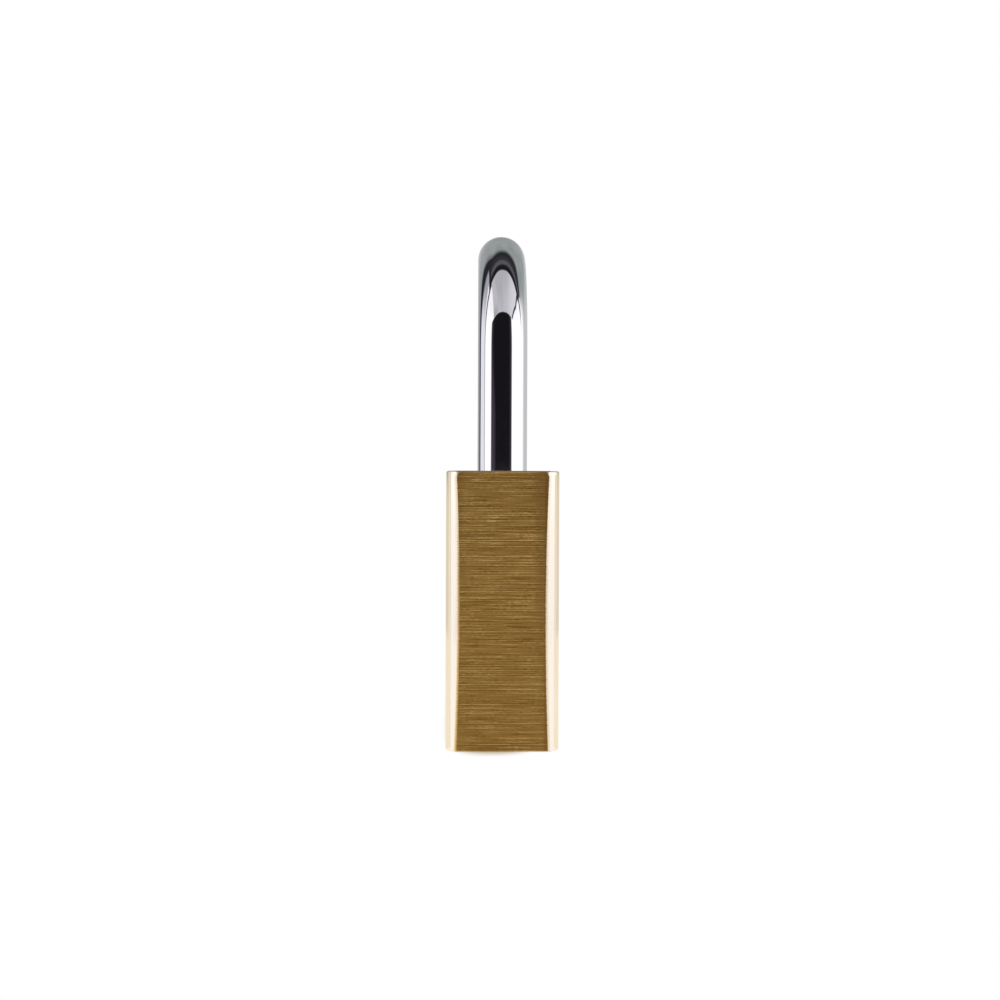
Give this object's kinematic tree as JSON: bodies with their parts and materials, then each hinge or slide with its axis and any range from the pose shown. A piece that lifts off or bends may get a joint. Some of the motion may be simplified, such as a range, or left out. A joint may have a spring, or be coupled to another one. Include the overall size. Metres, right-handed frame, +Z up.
{
  "type": "padlock",
  "caption": "Solid brass pin-tumbler padlock, closed, with a chromed steel shackle held at both legs by sliding bolts that a turning cylinder and cam drive.",
  "frame": {"origin": "middle of the base", "axes": "+Z up along the shackle's lift, +X along the width towards the heel leg, +Y through the thickness towards the back"},
  "size_m": [0.04, 0.0142, 0.0674],
  "materials": {
    "body_brass": "satin front and back, polished upright edges, narrow faces sanded across",
    "shackle_chrome": "mirror polished",
    "spring_steel": "drawn wire",
    "bolt_steel": "turned",
    "pin_steel": "ground",
    "plug_brass": "turned face",
    "cam_brass": "milled",
    "seal_brass": "sanded flush with the body",
    "key_pin_brass": "turned",
    "driver_brass": "turned"
  },
  "bodies": {
    "body": {"body": "body_brass", "shackle_spring": "spring_steel", "plug_retaining_pin": "pin_steel", "retaining_pin_seal": "seal_brass", "bolt_channel_seal": "seal_brass", "pin_spring_1": "spring_steel", "pin_spring_2": "spring_steel", "pin_spring_3": "spring_steel", "pin_spring_4": "spring_steel", "chamber_seal_1": "seal_brass", "chamber_seal_2": "seal_brass", "chamber_seal_3": "seal_brass", "chamber_seal_4": "seal_brass"},
    "shackle": {"shackle": "shackle_chrome"},
    "cylinder": {"cylinder_plug": "plug_brass", "cam": "cam_brass"},
    "toe_bolt_group": {"toe_bolt": "bolt_steel", "toe_drive_pin": "pin_steel"},
    "heel_bolt_group": {"heel_bolt": "bolt_steel", "heel_drive_pin": "pin_steel"},
    "driver_1": {"driver_pin_1": "driver_brass"},
    "driver_2": {"driver_pin_2": "driver_brass"},
    "driver_3": {"driver_pin_3": "driver_brass"},
    "driver_4": {"driver_pin_4": "driver_brass"},
    "key_pin_body_1": {"key_pin_1": "key_pin_brass"},
    "key_pin_body_2": {"key_pin_2": "key_pin_brass"},
    "key_pin_body_3": {"key_pin_3": "key_pin_brass"},
    "key_pin_body_4": {"key_pin_4": "key_pin_brass"}
  },
  "joints": [
    {"name": "shackle_lift", "type": "slide", "parent": "body", "child": "shackle", "axis": [0, 0, 1], "range_m": [0, 0.01], "deforming": ["shackle_spring"]},
    {"name": "plug_turn", "type": "hinge", "parent": "body", "child": "cylinder", "pos_m": [0, 0, 0], "axis": [0, 0, 1], "range_deg": [-90, 0]},
    {"name": "toe_bolt_slide", "type": "slide", "parent": "body", "child": "toe_bolt_group", "axis": [-1, 0, 0], "range_m": [0, 0.0012]},
    {"name": "heel_bolt_slide", "type": "slide", "parent": "body", "child": "heel_bolt_group", "axis": [1, 0, 0], "range_m": [0, 0.0012]},
    {"name": "driver_pin_1_slide", "type": "slide", "parent": "body", "child": "driver_1", "axis": [-1, 0, 0], "range_m": [0, 0.001], "stiffness_N_per_m": 60, "deforming": ["pin_spring_1"]},
    {"name": "driver_pin_2_slide", "type": "slide", "parent": "body", "child": "driver_2", "axis": [-1, 0, 0], "range_m": [0, 0.0018], "stiffness_N_per_m": 60, "deforming": ["pin_spring_2"]},
    {"name": "driver_pin_3_slide", "type": "slide", "parent": "body", "child": "driver_3", "axis": [-1, 0, 0], "range_m": [0, 0.0014], "stiffness_N_per_m": 60, "deforming": ["pin_spring_3"]},
    {"name": "driver_pin_4_slide", "type": "slide", "parent": "body", "child": "driver_4", "axis": [-1, 0, 0], "range_m": [0, 0.0022], "stiffness_N_per_m": 60, "deforming": ["pin_spring_4"]},
    {"name": "key_pin_1_slide", "type": "slide", "parent": "cylinder", "child": "key_pin_body_1", "axis": [0, 1, 0], "range_m": [0, 0.0025]},
    {"name": "key_pin_2_slide", "type": "slide", "parent": "cylinder", "child": "key_pin_body_2", "axis": [0, 1, 0], "range_m": [0, 0.0017]},
    {"name": "key_pin_3_slide", "type": "slide", "parent": "cylinder", "child": "key_pin_body_3", "axis": [0, 1, 0], "range_m": [0, 0.0021]},
    {"name": "key_pin_4_slide", "type": "slide", "parent": "cylinder", "child": "key_pin_body_4", "axis": [0, 1, 0], "range_m": [0, 0.0013]}
  ],
  "couplings": [
    {"joint": "toe_bolt_slide", "follows": "plug_turn", "m_per_rad": -0.00076394},
    {"joint": "heel_bolt_slide", "follows": "plug_turn", "m_per_rad": -0.00076394}
  ]
}
